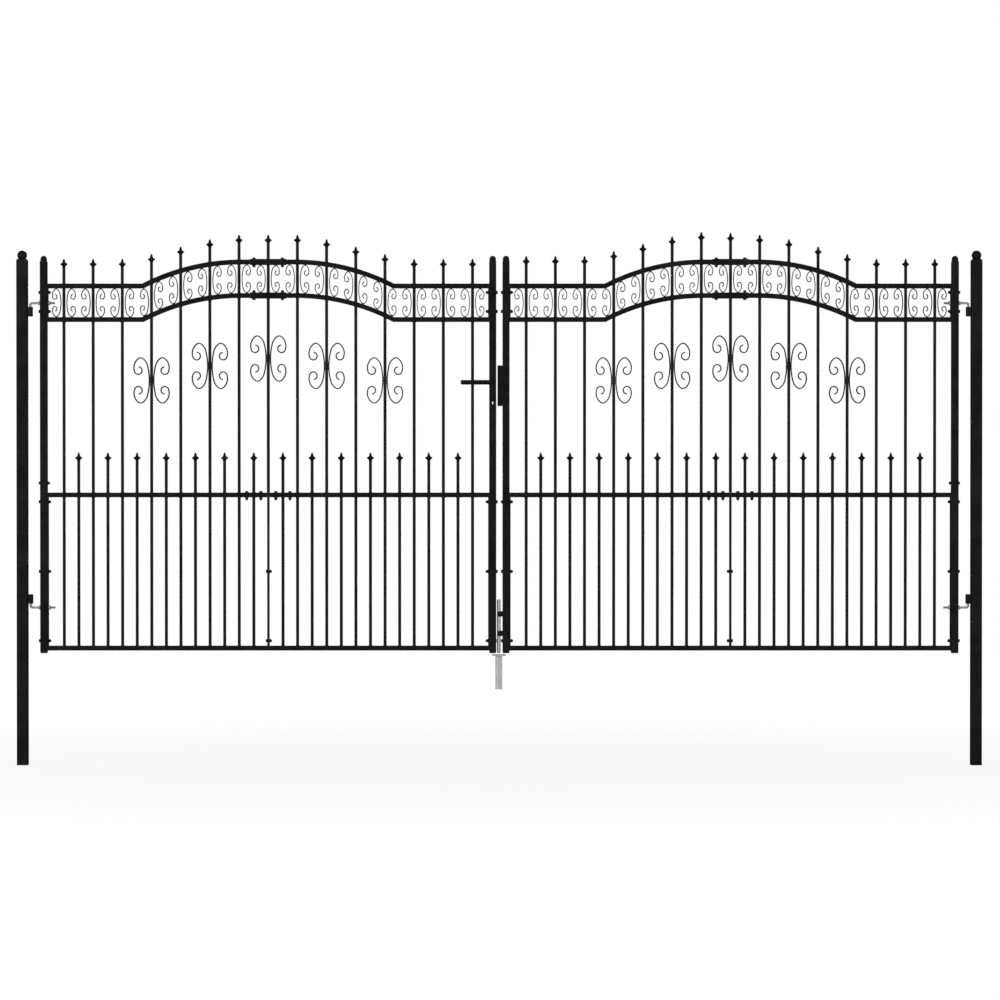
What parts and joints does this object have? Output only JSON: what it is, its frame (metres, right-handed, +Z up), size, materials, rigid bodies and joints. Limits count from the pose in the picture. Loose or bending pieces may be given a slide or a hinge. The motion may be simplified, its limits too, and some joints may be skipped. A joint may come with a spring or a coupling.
{
  "type": "double driveway gate",
  "caption": "Double-leaf steel driveway gate with arched frieze, spear-tipped pickets and scroll work, hung on hinge bolts between square posts with ball caps.",
  "frame": {"origin": "middle of the left post's foot, on its flat end face", "axes": "+X along the gate to the right post, +Y to the inner side that the leaves open to, +Z up"},
  "size_m": [4.06, 0.13, 2.245],
  "materials": {
    "black_paint": "satin",
    "black_plastic": "matte",
    "zinc": "satin"
  },
  "bodies": {
    "posts": {"left_post": "black_paint", "right_post": "black_paint", "left_post_cap": "black_paint", "right_post_cap": "black_paint", "left_upper_hinge_eye": "black_paint", "left_lower_hinge_eye": "black_paint", "right_upper_hinge_eye": "black_paint", "right_lower_hinge_eye": "black_paint", "ground_socket": "zinc"},
    "left_leaf": {"left_hinge_stile": "black_paint", "left_meeting_stile": "black_paint", "left_stile_caps": "black_plastic", "left_stile_feet": "black_plastic", "left_outer_panel": "black_paint", "left_inner_panel": "black_paint", "left_centre_picket": "black_paint", "left_rail_sleeves": "black_paint", "left_frieze_scrolls": "black_paint", "left_picket_scrolls": "black_paint", "left_upper_hinge_bolt": "zinc", "left_lower_hinge_bolt": "zinc", "left_hinge_nuts": "zinc"},
    "right_leaf": {"right_hinge_stile": "black_paint", "right_meeting_stile": "black_paint", "right_stile_caps": "black_plastic", "right_stile_feet": "black_plastic", "right_outer_panel": "black_paint", "right_inner_panel": "black_paint", "right_centre_picket": "black_paint", "right_rail_sleeves": "black_paint", "right_frieze_scrolls": "black_paint", "right_picket_scrolls": "black_paint", "right_upper_hinge_bolt": "zinc", "right_lower_hinge_bolt": "zinc", "right_hinge_nuts": "zinc", "lock_keep": "black_paint", "bolt_guides": "black_paint"},
    "lever": {"front_lever": "black_paint", "rear_lever": "black_paint"},
    "drop_bolt": {"drop_bolt": "zinc"}
  },
  "joints": [
    {"name": "left_leaf_swing", "type": "hinge", "parent": "posts", "child": "left_leaf", "pos_m": [0.0345, 0, 0], "axis": [0, 0, 1], "range_deg": [0, 90]},
    {"name": "right_leaf_swing", "type": "hinge", "parent": "posts", "child": "right_leaf", "pos_m": [3.9805, 0, 0], "axis": [0, 0, -1], "range_deg": [0, 90]},
    {"name": "lever_turn", "type": "hinge", "parent": "left_leaf", "child": "lever", "pos_m": [1.9795, 0, 1.611], "axis": [0, -1, 0], "range_deg": [0, 40], "stiffness_Nm_per_rad": 1.2, "springref_deg": -28.65},
    {"name": "drop_bolt_slide", "type": "slide", "parent": "right_leaf", "child": "drop_bolt", "axis": [0, 0, 1], "range_m": [-0.045, 0]}
  ]
}
